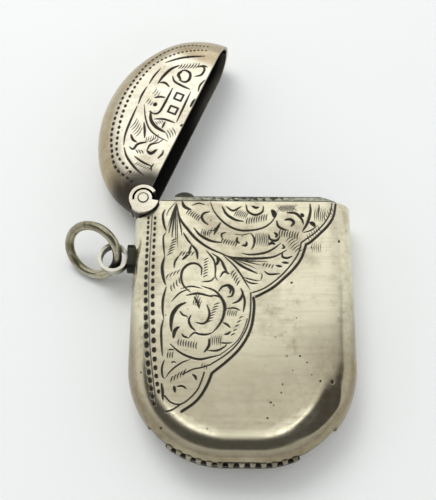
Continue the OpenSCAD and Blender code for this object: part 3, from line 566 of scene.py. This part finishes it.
class Engraving:
    """Depth map of the cuts on an unrolled shell."""

    def __init__(self, low, high):
        self.low = np.array(low, float)
        shape = np.ceil((np.array(high) - low) / MAP_STEP).astype(int) + 1
        self.depth = np.zeros(shape)

    def cut(self, points, widths):
        """A groove of V section along close points, each with its own width."""
        for (u, v), width in zip(points, widths):
            half = max(width / 2, MAP_STEP)
            first = np.maximum(((u - half, v - half) - self.low) // MAP_STEP, 0).astype(int)
            last = (((u + half, v + half) - self.low) // MAP_STEP).astype(int) + 2
            patch = self.depth[first[0]:last[0], first[1]:last[1]]
            across = self.low[0] + MAP_STEP * np.arange(first[0], first[0] + patch.shape[0]) - u
            down = self.low[1] + MAP_STEP * np.arange(first[1], first[1] + patch.shape[1]) - v
            gap = np.hypot(across[:, None], down[None, :])
            np.maximum(patch, (half - gap) * 2 * CUT_SLOPE, out=patch)

    def swelled(self, width, *points):
        """A cut that is widest in its middle."""
        path = smooth_path(points, MAP_STEP)
        share = np.sin(np.linspace(0, math.pi, len(path))) ** SWELL_POWER
        self.cut(path, width * (TIP_WIDTH + (1 - TIP_WIDTH) * share))

    def line(self, width, *points):
        """A cut of one width."""
        path = smooth_path(points, MAP_STEP)
        self.cut(path, np.full(len(path), width))

    def dots(self, share, pitches, points):
        """A row of punched dots, drawn out along it."""
        path = smooth_path(points, MAP_STEP)
        travel = np.arange(len(path)) * MAP_STEP
        spot = 0.0
        while spot < travel[-1]:
            at = int(spot / MAP_STEP)
            ahead = path[min(at + 1, len(path) - 1)] - path[max(at - 1, 0)]
            ahead = ahead / np.linalg.norm(ahead)
            pitch = np.interp(spot / travel[-1], np.linspace(0, 1, len(pitches)), pitches)
            stretch = np.linspace(-DOT_STRETCH, DOT_STRETCH, DOT_STAMPS)[:, None] * share * pitch * ahead
            self.cut(path[at] + stretch, np.full(DOT_STAMPS, share * pitch))
            spot += pitch

    def hatch(self, width, count, length, angle, start, end):
        """A row of short cuts, each slightly bent."""
        turn = math.radians(angle)
        ahead = np.array([math.cos(turn), math.sin(turn)]) * length / 2
        for share in np.linspace(0, 1, count):
            middle = np.array(start) + share * (np.array(end) - start)
            bend = HATCH_BEND * length * np.array([-math.sin(turn), math.cos(turn)])
            self.swelled(width, middle - ahead, middle + bend, middle + ahead)

    def spread(self, distance):
        """Mask of the map within a distance of a cut, spread along one axis after the other."""
        mask = (self.depth > 0).astype(np.int32)
        size = int(distance / MAP_STEP)
        for _ in range(2):
            sums = np.cumsum(np.pad(mask, [(size + 1, size), (0, 0)]), 0)
            mask = (sums[2 * size + 1:] - sums[:-2 * size - 1] > 0).astype(np.int32).T
        return mask

    def read(self, grid, plan):
        """Values of a map at plan points."""
        place = (plan - self.low) / MAP_STEP
        limit = np.array(grid.shape) - 2
        cell = np.clip(np.floor(place).astype(int), 0, limit)
        part = np.clip(place - cell, 0, 1)
        a, b = cell[:, 0], cell[:, 1]
        s, t = part[:, 0], part[:, 1]
        low = grid[a, b] * (1 - s) + grid[a + 1, b] * s
        high = grid[a, b + 1] * (1 - s) + grid[a + 1, b + 1] * s
        return low * (1 - t) + high * t


def ease(value, low, high):
    """Smooth rise from 0 at low to 1 at high."""
    share = np.clip((value - low) / (high - low), 0, 1)
    return share * share * (3 - 2 * share)


def bend_of(out):
    """Bends round the base of outward directions, from -90 at the left side to 90 at the right."""
    return np.degrees(np.arctan2(out[:, 0], -out[:, 1]))


def base_corners(low, high, count, v):
    """Middles of the body's corners, at v, and outward directions, for bends round the base."""
    bend = np.radians(np.linspace(low, high, count))
    corner = np.column_stack([np.sign(bend) * (HALF_WIDTH - BODY_CORNER), np.full(count, v)])
    return corner, np.column_stack([np.sin(bend), -np.cos(bend)])


def smooth_path(points, step):
    """Close points on a Catmull-Rom curve through the points, a step apart."""
    knots = np.array(points, float)
    if len(knots) == 2:
        knots = np.array([knots[0], knots.mean(0), knots[1]])
    ends = np.vstack([2 * knots[0] - knots[1], knots, 2 * knots[-1] - knots[-2]])
    fine = []
    t = np.linspace(0, 1, CURVE_POINTS, endpoint=False)[:, None]
    for a, b, c, d in zip(ends, ends[1:], ends[2:], ends[3:]):
        square = (2 * a - 5 * b + 4 * c - d) * t ** 2
        cube = (3 * b - a - 3 * c + d) * t ** 3
        fine.append(0.5 * (2 * b + (c - a) * t + square + cube))
    fine = np.vstack(fine + [knots[-1:]])
    travel = np.concatenate([[0], np.cumsum(np.linalg.norm(np.diff(fine, axis=0), axis=1))])
    spots = np.linspace(0, travel[-1], max(int(travel[-1] / step) + 1, 3))
    return np.column_stack([np.interp(spots, travel, fine[:, axis]) for axis in (0, 1)])


def grid_points(shell, step):
    """Staggered rows of plan points a step apart, inside a shell."""
    side = HALF_WIDTH - EDGE + shell.REACH
    low = shell.corner_v - shell.flat - shell.REACH
    rows = np.arange(low, shell.mouth_v, step * math.sqrt(3) / 2)
    columns = np.arange(-side, side, step)
    u = columns[None, :] + (np.arange(len(rows)) % 2)[:, None] * step / 2
    plan = np.column_stack([u.ravel(), np.repeat(rows, len(columns))])
    return plan[shell.inside(plan, RIM_CLEAR * step)]


def skin_plan(shell, rim, engraving=None):
    """Plan points and triangles of one skin: fine in the cuts and coarse on the flat."""
    points = [rim]
    if shell.worn:
        points.append(shell.slot_rows())
    for step, level in ((CUT_STEP, 3), (NEAR_STEP, 2), (ROUND_STEP, 1), (FLAT_STEP, 0)):
        plan = grid_points(shell, step)
        wanted = (shell.beyond(plan)[0] > -FLAT_STEP).astype(int)
        if engraving is not None:
            near = engraving.read(engraving.near, plan) > 0.5
            close = engraving.read(engraving.close, plan) > 0.5
            wanted = np.where(close, 3, np.where(near, 2, wanted))
        points.append(plan[wanted == level])
    plan = np.concatenate(points)
    loop = list(range(len(rim)))
    only_inside, closest = 1, 1e-6
    made = geometry.delaunay_2d_cdt([Vector(p) for p in plan], [], [loop], only_inside, closest, False)
    return np.array([tuple(p) for p in made[0]]), np.array(made[2])


def shell_mesh(name, shell, engraving, place):
    """Closed mesh of a whole body or lid: engraved front, plain back, inner skin and rim."""
    rim, free = shell.rim()
    fine, fine_faces = skin_plan(shell, rim, engraving)
    plain, plain_faces = skin_plan(shell, rim)
    depth = engraving.read(engraving.depth, fine)
    front = shell.wrap(fine, 0)
    under = shell.wrap(fine, -WALL)
    front += (under - front) * (depth / WALL)[:, None]
    turn_over = np.array([1, 1, -1])
    outer = shell.wrap(plain, 0)
    inner = shell.wrap(plain, -WALL)
    lip = np.concatenate([shell.wrap(rim[:free], 0), shell.wrap(rim[:free], -WALL)])
    steps = np.arange(free - 1)
    lip_faces = np.column_stack([steps, steps + 1, steps + 1 + free, steps + free])
    lip_faces = np.concatenate([lip_faces[:, [0, 1, 2]], lip_faces[:, [0, 2, 3]]])
    # The cut value holds the black of the cuts and, on the lid, the painted shade beside the hinge.
    shade = np.maximum(np.clip(depth / FULL_SHADE, 0, 1), shell.lid_hinge_shade(fine))
    none = np.zeros(len(plain))
    # The inside is painted dark, a painted shade; on the lid it is painted lighter towards the mouth at the free end,
    # a painted light.
    inside_shade_share = none + 1
    if not shell.worn:
        lit_by_mouth = ease(plain[:, 1], -1.6, -0.2)
        inside_shade_share = inside_shade_share - 0.4 * ease(plain[:, 0], 0, 13) * lit_by_mouth
    lip_none = np.zeros(2 * free)
    parts = [
        (front, fine_faces, shade, np.zeros(len(fine)), shell.browning(fine)),
        (outer * turn_over, plain_faces, none, none, shell.browning(plain)),
        (inner, plain_faces, none, none + 1, none),
        (inner * turn_over, plain_faces, none, inside_shade_share, none),
        (lip, lip_faces, lip_none, lip_none, lip_none),
        (lip * turn_over, lip_faces, lip_none, lip_none, lip_none),
    ]
    start = np.cumsum([0] + [len(p[0]) for p in parts])
    points = place(np.concatenate([p[0] for p in parts]))
    faces = np.concatenate([p[1] + s for p, s in zip(parts, start)])
    keys = np.round(points * WELD).astype(np.int64)
    _, first, back = np.unique(keys, axis=0, return_index=True, return_inverse=True)
    faces = back.reshape(-1)[faces]
    whole = (faces != np.roll(faces, 1, 1)).all(1)
    mesh = bpy.data.meshes.new(name)
    mesh.from_pydata((points[first] * MM).tolist(), [], faces[whole].tolist())
    for label, *values in zip(SHADES, *[p[2:] for p in parts]):
        values = np.concatenate(values)[first]
        mesh.attributes.new(label, "FLOAT", "POINT").data.foreach_set("value", values.astype(np.float32))
    outward(mesh)
    return add_object(name, mesh)


def add_object(name, data):
    """Puts a new object into the scene."""
    made = bpy.data.objects.new(name, data)
    bpy.context.scene.collection.objects.link(made)
    return made


def outward(mesh):
    """Turns all faces of a closed mesh outwards and shades it smooth."""
    work = bmesh.new()
    work.from_mesh(mesh)
    bmesh.ops.recalc_face_normals(work, faces=work.faces)
    work.to_mesh(mesh)
    work.free()
    mesh.polygons.foreach_set("use_smooth", [True] * len(mesh.polygons))
    mesh.set_sharp_from_angle(angle=math.radians(SHARP_ANGLE))


def engrave(shell, to_plan, cuts, dots, hatches, lines=(), stamps=(), pits=()):
    """Engraving of a shell from lists in the CAD frame."""
    beside, beyond = MAP_MARGINS
    low = (-HALF_WIDTH - beside, shell.corner_v - shell.flat - shell.REACH - beyond)
    made = Engraving(low, (HALF_WIDTH + beside, beyond))
    for width, *points in cuts:
        made.swelled(width, *map(to_plan, points))
    for width, *points in lines:
        made.line(width, *map(to_plan, points))
    for width, (left, foot), (right, top) in stamps:
        corners = [to_plan(p) for p in ((left, foot), (right, foot), (right, top), (left, top))]
        for start, end in zip(corners, corners[1:] + corners[:1]):
            made.line(width, start, end)
    for share, pitches, points in dots:
        made.dots(share, pitches, [to_plan(p) for p in points])
    for width, rows in hatches.items():
        for count, length, angle, start, end in rows:
            made.hatch(width, count, length, angle, to_plan(start), to_plan(end))
    for size, spot in pits:
        made.cut([to_plan(spot)], [size])
    made.close = made.spread(CUT_REACH)
    made.near = made.spread(NEAR_REACH)
    return made


def gap_shade_mesh():
    """Dark band between the striker's teeth, round the base: painted shade."""
    count = GAP_SHADE_POINTS
    corner, out = base_corners(*GAP_SHADE_BENDS, count, BODY_CORNER - BODY_HEIGHT / 2)
    section = [(GAP_SHADE_ROOT, GAP_SHADE_HALF), (GAP_SHADE_TOP, GAP_SHADE_HALF), (GAP_SHADE_TOP, -GAP_SHADE_HALF), (GAP_SHADE_ROOT, -GAP_SHADE_HALF)]
    rings = [np.column_stack([corner + out * radius, np.full(count, MID_Z + z)]) for radius, z in section]
    faces = [tuple(side * count for side in range(4)), tuple(side * count + count - 1 for side in (3, 2, 1, 0))]
    for side in range(4):
        a, b = side * count, (side + 1) % 4 * count
        faces += [(a + i, a + i + 1, b + i + 1, b + i) for i in range(count - 1)]
    mesh = bpy.data.meshes.new("striker_gap_shade")
    mesh.from_pydata((np.concatenate(rings) * MM).tolist(), [], faces)
    outward(mesh)
    return mesh


def body_place(points):
    """Body from its plan."""
    return points + (0, MOUTH_Y, MID_Z)


def lid_place(points):
    """Closed lid from its plan, then swung open about the hinge."""
    turn = math.radians(LID_OPEN)
    x = points[:, 0] - HINGE_X
    y = MOUTH_Y - points[:, 1] - HINGE_Y
    swung = (x * math.cos(turn) - y * math.sin(turn) + HINGE_X, x * math.sin(turn) + y * math.cos(turn) + HINGE_Y)
    return np.column_stack([*swung, points[:, 2] + MID_Z])


# Materials

class Nodes:
    """Short-hand for building a node tree."""

    def __init__(self, owner):
        owner.use_nodes = True
        self.tree = owner.node_tree
        self.tree.nodes.clear()

    def add(self, kind, inputs=None, **settings):
        node = self.tree.nodes.new(kind)
        for key, value in settings.items():
            setattr(node, key, value)
        for key, value in (inputs or {}).items():
            if isinstance(value, bpy.types.NodeSocket):
                self.tree.links.new(value, node.inputs[key])
            else:
                node.inputs[key].default_value = value
        return node

    def math(self, operation, a, b=0.0, clamp=False):
        return self.add("ShaderNodeMath", {0: a, 1: b}, operation=operation, use_clamp=clamp).outputs[0]

    def times(self, a, b):
        return self.math("MULTIPLY", a, b)

    def most(self, a, b):
        return self.math("MAXIMUM", a, b)

    def spread(self, value, low, high, out_low=0.0, out_high=1.0):
        inputs = {"Value": value, "From Min": low, "From Max": high, "To Min": out_low, "To Max": out_high}
        return self.add("ShaderNodeMapRange", inputs, interpolation_type="SMOOTHSTEP").outputs[0]

    def mix(self, share, a, b):
        """Mix of two colours, each a socket or red, green and blue."""
        a, b = [color if isinstance(color, bpy.types.NodeSocket) else (*color, 1) for color in (a, b)]
        return self.add("ShaderNodeMix", {0: share, 6: a, 7: b}, data_type="RGBA").outputs[2]

    def noise(self, where, scale, detail=4.0, rough=0.55):
        inputs = {"Vector": where, "Scale": scale, "Detail": detail, "Roughness": rough}
        return self.add("ShaderNodeTexNoise", inputs).outputs["Fac"]

    def specks(self, where, scale, share, size):
        """Small round marks in a share of the cells of a scattered pattern."""
        cells = self.add("ShaderNodeTexVoronoi", {"Vector": where, "Scale": scale, "Randomness": 1.0})
        kind = self.add("ShaderNodeSeparateColor", {0: cells.outputs["Color"]}).outputs[0]
        soft = 0.02
        chosen = self.spread(kind, 1 - share, 1 - share + soft)
        return self.times(self.spread(cells.outputs["Distance"], size / 2, size, 1, 0), chosen)

    def ramp(self, value, low, high, levels):
        """Grey levels along a value, given as pairs of a value and its level."""
        share = self.add("ShaderNodeMapRange", {"Value": value, "From Min": low, "From Max": high}).outputs[0]
        node = self.add("ShaderNodeValToRGB", {"Fac": share})
        stops = node.color_ramp.elements
        while len(stops) > 1:
            stops.remove(stops[0])
        for index, (spot, level) in enumerate(levels):
            place = (spot - low) / (high - low)
            stop = stops[0] if index == 0 else stops.new(place)
            stop.position = place
            stop.color = (level, level, level, 1)
        return node.outputs[0]


def silver(name, clean=SILVER, tarnish=TARNISH, dirt_and_shade=0.5, polish=0.14, hollow_dirt_and_shade=0.0, hollows=0.9, inside_shade_color=None,
           marks=None):
    """Worn silver: cloudy tarnish, faint scratches and pits.

    Dirt is the share of the tarnish, polish the roughness, and the black in hollows of a given reach is a painted
    shade, read by ambient occlusion, that also stands for dirt there.
    A shell has a colour for its inside, a painted shade: it is brown at the edge, black in the cuts and of that
    colour inside. Marks add more black: painted shade below the hinge's face and a line round its pin, lines and
    patches on the collar.
    """
    material = bpy.data.materials.new(name)
    n = Nodes(material)
    where = n.add("ShaderNodeTexCoord").outputs["Object"]
    clouds = n.noise(where, 110, 6, 0.62)
    mottle = n.noise(where, 900, 5, 0.7)
    stain = n.times(n.spread(clouds, 0.36, 0.7), dirt_and_shade)
    stain = n.math("ADD", stain, n.spread(mottle, 0.45, 0.8, 0, 0.6 * dirt_and_shade), True)
    if inside_shade_color:
        cut, inside, edge = [n.add("ShaderNodeAttribute", attribute_name=label).outputs["Fac"] for label in SHADES]
        browned = n.times(n.spread(edge, 0.2, 0.62), n.spread(clouds, 0.2, 0.62, 0.72, 1.0))
        browned = n.times(browned, n.spread(mottle, 0.3, 0.65, 1.0, 0.85))
        color = n.mix(n.most(stain, browned), clean, tarnish)
    else:
        color = n.mix(stain, clean, tarnish)
    brushed = n.add("ShaderNodeMapping", {"Vector": where, "Scale": (0.07, 1, 1)}).outputs[0]
    color = n.mix(n.spread(n.noise(brushed, 1500, 3, 0.6), 0.42, 0.7, 0, 0.16), color, tarnish)
    rust = n.spread(n.noise(where, 210, 3, 0.5), 0.67, 0.74, 0, 0.35)
    color = n.mix(rust, color, RUST)

    threads = []
    for angle, scale in ((64, 700), (-52, 900)):
        turn = (0, 0, math.radians(angle))
        turned = n.add("ShaderNodeMapping", {"Vector": where, "Rotation": turn, "Scale": (0.12, 1, 1)})
        threads.append(n.spread(n.noise(turned.outputs[0], scale, 1, 0.3), 0.7, 0.74))
    scratches = n.most(*threads)
    small_pits = n.times(n.specks(where, 620, 0.1, 0.16), 0.6)
    pits = n.most(n.specks(where, 230, 0.16, 0.09), small_pits)
    if inside_shade_color:
        scratches = n.times(scratches, n.spread(edge, 0.05, 0.35, 1, 0))
    color = n.mix(n.times(scratches, 0.2), color, BARE)
    color = n.mix(n.times(pits, 0.85), color, PITTED)

    rough = n.math("ADD", polish, n.times(stain, 0.16))
    dulled = pits
    if marks:
        marked = marks(n, where)
        color = n.mix(marked, color, BLACK_PATINA_AND_SHADE)
        dulled = n.most(dulled, marked)
    # Painted shade in hollows: black where ambient occlusion finds the surroundings close, also standing for dirt
    # there.
    if hollow_dirt_and_shade:
        hollow = n.add("ShaderNodeAmbientOcclusion", {"Distance": hollows * MM}, samples=8).outputs["AO"]
        hollow_darkening = n.times(n.spread(hollow, 0.35, 0.95, 1, 0), hollow_dirt_and_shade)
        color = n.mix(hollow_darkening, color, BLACK_PATINA_AND_SHADE)
        dulled = n.most(dulled, hollow_darkening)
    if inside_shade_color:
        # Black in the cuts, and on the lid the painted shade beside the hinge.
        color = n.mix(n.times(cut, 0.95), color, BLACK_PATINA_AND_SHADE)
        # The inside takes its colour, a painted shade.
        color = n.mix(inside, color, inside_shade_color)
        dulled = n.most(dulled, n.most(cut, inside))
    rough = n.math("ADD", rough, n.times(dulled, 0.35))
    metal = n.math("SUBTRACT", 1.0, n.times(dulled, 0.5))

    waves = n.noise(where, 260, 4, 0.55)
    height = n.math("SUBTRACT", waves, n.times(pits, 0.8))
    bump = n.add("ShaderNodeBump", {"Height": height, "Strength": 0.1, "Distance": 0.1 * MM})
    inputs = {"Base Color": color, "Roughness": rough, "Metallic": metal, "Normal": bump.outputs[0]}
    shader = n.add("ShaderNodeBsdfPrincipled", inputs)
    n.add("ShaderNodeOutputMaterial", {"Surface": shader.outputs[0]})
    return material


def hinge_shade_and_pin_line(n, where):
    """Painted shade below the face of the hinge, and a dark line round its pin."""
    spot = n.add("ShaderNodeSeparateXYZ", {0: where}).outputs
    shade_below = n.spread(spot["Z"], (HINGE_TOP - 1.1) * MM, (HINGE_TOP - 0.25) * MM, 0.92, 0)
    x, y = [n.math("SUBTRACT", spot[axis], middle * MM) for axis, middle in (("X", HINGE_X), ("Y", HINGE_Y))]
    away = n.math("SQRT", n.math("ADD", n.times(x, x), n.times(y, y)))
    inner = n.spread(away, (PIN_RADIUS - 0.14) * MM, (PIN_RADIUS - 0.02) * MM, 0, 0.9)
    line = n.times(inner, n.spread(away, (PIN_RADIUS + 0.06) * MM, (PIN_RADIUS + 0.2) * MM, 1, 0))
    return n.most(shade_below, line)


def collar_marks(n, where):
    """Dark lines along the foot and the lip of the collar, and worn patches between them."""
    spot = n.add("ShaderNodeSeparateXYZ", {0: where}).outputs
    foot = n.spread(spot["Y"], (MOUTH_Y + 0.3) * MM, (MOUTH_Y + 0.55) * MM, 0.85, 0)
    lip = n.spread(spot["Y"], (COLLAR_TOP - 0.2) * MM, (COLLAR_TOP - 0.06) * MM, 0, 0.85)
    patches = n.noise(n.add("ShaderNodeMapping", {"Vector": where, "Scale": (0.45, 1, 1)}).outputs[0], 2600, 3, 0.6)
    off_middle = n.math("ABSOLUTE", n.math("SUBTRACT", spot["X"], 1.0 * MM))
    fewer_aside = n.spread(off_middle, 5 * MM, 9 * MM, 0.85, 0.45)
    worn = n.times(n.spread(patches, 0.46, 0.56), fewer_aside)
    return n.most(n.most(foot, lip), worn)


def dress(piece, material, round_edges=0.0):
    """Gives a piece its material and, where asked, worn round edges."""
    piece.data.materials.clear()
    piece.data.materials.append(material)
    if round_edges:
        bevel = piece.modifiers.new("worn_edges", "BEVEL")
        bevel.width = round_edges * MM
        bevel.segments = 4
        bevel.limit_method = "ANGLE"
        bevel.angle_limit = math.radians(40)


# Pieces

body_half = Shell(BODY_HEIGHT, BODY_CORNER, 0.0, HINGE_Y - MOUTH_Y, 0.0, worn=True)
body_cuts = engrave(body_half, lambda p: (p[0], p[1] - MOUTH_Y), BODY_CUTS, BODY_DOTS, BODY_HATCH,
                    lines=BODY_LINES, pits=BODY_PITS)
body_shell = shell_mesh("body_shell", body_half, body_cuts, body_place)
# Body: its inside is painted dark, a painted shade.
dress(body_shell, silver("body_silver", tarnish=(0.24, 0.19, 0.115), hollow_dirt_and_shade=0.8, hollows=1.3,
                         inside_shade_color=(0.05, 0.045, 0.035)))
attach(body_shell, "case")
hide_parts("body_front", "body_back")

crown = (HALF_WIDTH - LID_HEIGHT + LID_SIDE) / 2
lid_half = Shell(LID_HEIGHT, HALF_WIDTH - 3 * crown, crown, MOUTH_Y - HINGE_Y, -LID_GAP)
lid_cuts = engrave(lid_half, lambda p: (p[0], MOUTH_Y - p[1]), LID_CUTS, LID_DOTS, LID_HATCH, stamps=LID_STAMPS)
lid_shell = shell_mesh("lid_shell", lid_half, lid_cuts, lid_place)
# Lid: its silver is paler than the body's, a painted light for the brighter reflection on its face; its inside is
# painted near black, a painted shade.
dress(lid_shell, silver("lid_silver", (0.89, 0.86, 0.71), hollow_dirt_and_shade=0.9, hollows=2.2, inside_shade_color=(0.012, 0.011, 0.009)))
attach(lid_shell, "lid")
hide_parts("lid_front", "lid_back")

# Dark band between the striker's teeth: painted shade where the ground behind them is shaded.
dirt_and_shade = add_object("striker_gap_shade", gap_shade_mesh())
dress(dirt_and_shade, silver("gap_shade_black", (0.045, 0.038, 0.028), (0.015, 0.012, 0.009), dirt_and_shade=0.9, polish=0.6))
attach(dirt_and_shade, "case")

# Metals of the CAD pieces: clean and tarnished colour, dirt, polish, the black in hollows (a painted shade that also
# stands for dirt), their reach and marks, as in silver, then the round of the worn edges and the pieces
METALS = (
    ("hinge_silver", (0.8, 0.77, 0.63), TARNISH, 0.6, 0.16, 1.0, 3.5, None, 0.16, ("hinge_lug_rear", "lid_knuckle")),
    # Front of the hinge: its marks are painted shade below its face and a dark line round its pin.
    ("face_silver", (0.86, 0.83, 0.69), TARNISH, 0.4, 0.16, 1.0, 2.0, hinge_shade_and_pin_line, 0.16,
     ("hinge_lug_front", "hinge_pin")),
    ("collar_silver", (0.52, 0.52, 0.42), (0.16, 0.15, 0.1), 0.7, 0.22, 0.8, 0.9, collar_marks, 0.08,
     ("mouth_collar",)),
    ("striker_silver", (0.36, 0.33, 0.25), (0.16, 0.13, 0.08), 0.9, 0.3, 1.0, 0.9, None, 0, ("striker_strip",)),
    ("pad_silver", (0.05, 0.048, 0.038), (0.02, 0.018, 0.012), 0.9, 0.3, 0.9, 0.9, None, 0.1, ("loop_pad",)),
    ("loop_silver", (0.84, 0.81, 0.68), (0.3, 0.26, 0.17), 0.5, 0.12, 1.0, 4.0, None, 0.14, ("ring_loop",)),
    ("ring_silver", (0.52, 0.49, 0.36), (0.16, 0.14, 0.08), 0.8, 0.16, 0.9, 2.4, None, 0, ("jump_ring",)),
    ("spring_steel", (0.32, 0.31, 0.29), (0.18, 0.13, 0.09), 0.8, 0.35, 0, 0.9, None, 0,
     ("lid_spring", "spring_rivet")),
)
for name, clean, tarnish, dull, polish, hollow_dirt_and_shade, hollows, marks, round_edges, pieces in METALS:
    metal = silver(name, clean, tarnish, dull, polish, hollow_dirt_and_shade, hollows, marks=marks)
    for piece in pieces:
        dress(nodes[piece], metal, round_edges)

# Floor

bpy.ops.mesh.primitive_plane_add(size=3.0)
floor = bpy.context.object
floor.name = "floor"
paper = bpy.data.materials.new("floor_paper")
n = Nodes(paper)
fibre = n.noise(n.add("ShaderNodeTexCoord").outputs["Object"], 900, 3, 0.5)
tone = n.mix(fibre, (0.925, 0.945, 0.935), (0.96, 0.98, 0.97))
path = n.add("ShaderNodeLightPath").outputs
seen = n.times(n.math("ADD", path["Is Camera Ray"], path["Is Glossy Ray"]), 0.07)
inputs = {"Base Color": tone, "Roughness": 0.9, "Emission Color": tone, "Emission Strength": seen}
sheet = n.add("ShaderNodeBsdfPrincipled", inputs)
n.add("ShaderNodeOutputMaterial", {"Surface": sheet.outputs[0]})
dress(floor, paper)

# Light: a white tent that is open and dark towards the viewer, with a low horizon and a soft lamp behind

world = bpy.data.worlds.new("tent")
bpy.context.scene.world = world
n = Nodes(world)
sky = n.add("ShaderNodeSeparateXYZ", {0: n.add("ShaderNodeTexCoord").outputs["Generated"]}).outputs
aside = n.math("ABSOLUTE", sky["X"])
along = n.math("SUBTRACT", sky["Y"], n.times(n.math("POWER", aside, 0.6), 0.58))
tent = n.ramp(along, -1.6, 1.0, [
    (-1.6, 0.09), (-0.31, 0.08), (-0.25, 0.34), (-0.18, 0.56), (0.09, 0.62), (0.2, 0.74), (0.28, 0.88), (0.36, 0.98),
    (0.5, 1.04), (1.0, 0.98)])
window = n.times(n.spread(along, -0.27, -0.21), n.spread(along, -0.12, -0.02, 1, 0))
strip = n.times(n.spread(aside, 0.05, 0.12), n.spread(aside, 0.13, 0.2, 1, 0))
window = n.times(window, strip)
tent = n.math("ADD", tent, n.times(window, 1.9))
horizon = n.spread(sky["Y"], -0.75, 0.1, 0.42, 0.66)
level = n.add("ShaderNodeMix", {0: n.spread(sky["Z"], 0.57, 0.66), 2: horizon, 3: tent}).outputs[0]
background = n.add("ShaderNodeBackground", {"Color": level, "Strength": 1.4})
n.add("ShaderNodeOutputWorld", {"Surface": background.outputs[0]})

LAMP_PLACE = Vector((-120, 260, 360))
lamp_data = bpy.data.lights.new("back_lamp", "AREA")
lamp_data.size = 220 * MM
lamp_data.energy = 0.65
lamp = add_object("back_lamp", lamp_data)
lamp.location = LAMP_PLACE * MM
lamp.visible_glossy = False
lamp.rotation_euler = (-LAMP_PLACE).to_track_quat("-Z", "Y").to_euler()

# Camera, as fitted to the photo

camera_data = bpy.data.cameras.new("camera")
camera_data.sensor_width = 36
camera_data.lens = 57.6
camera_data.clip_start = 10 * MM
camera = add_object("camera", camera_data)
camera.location = Vector((-1.90, -29.99, 122.13)) * MM
camera.rotation_euler = [math.radians(a) for a in (20.147, 0.687, 0.661)]
bpy.context.scene.camera = camera

bpy.context.scene.view_settings.view_transform = "Standard"
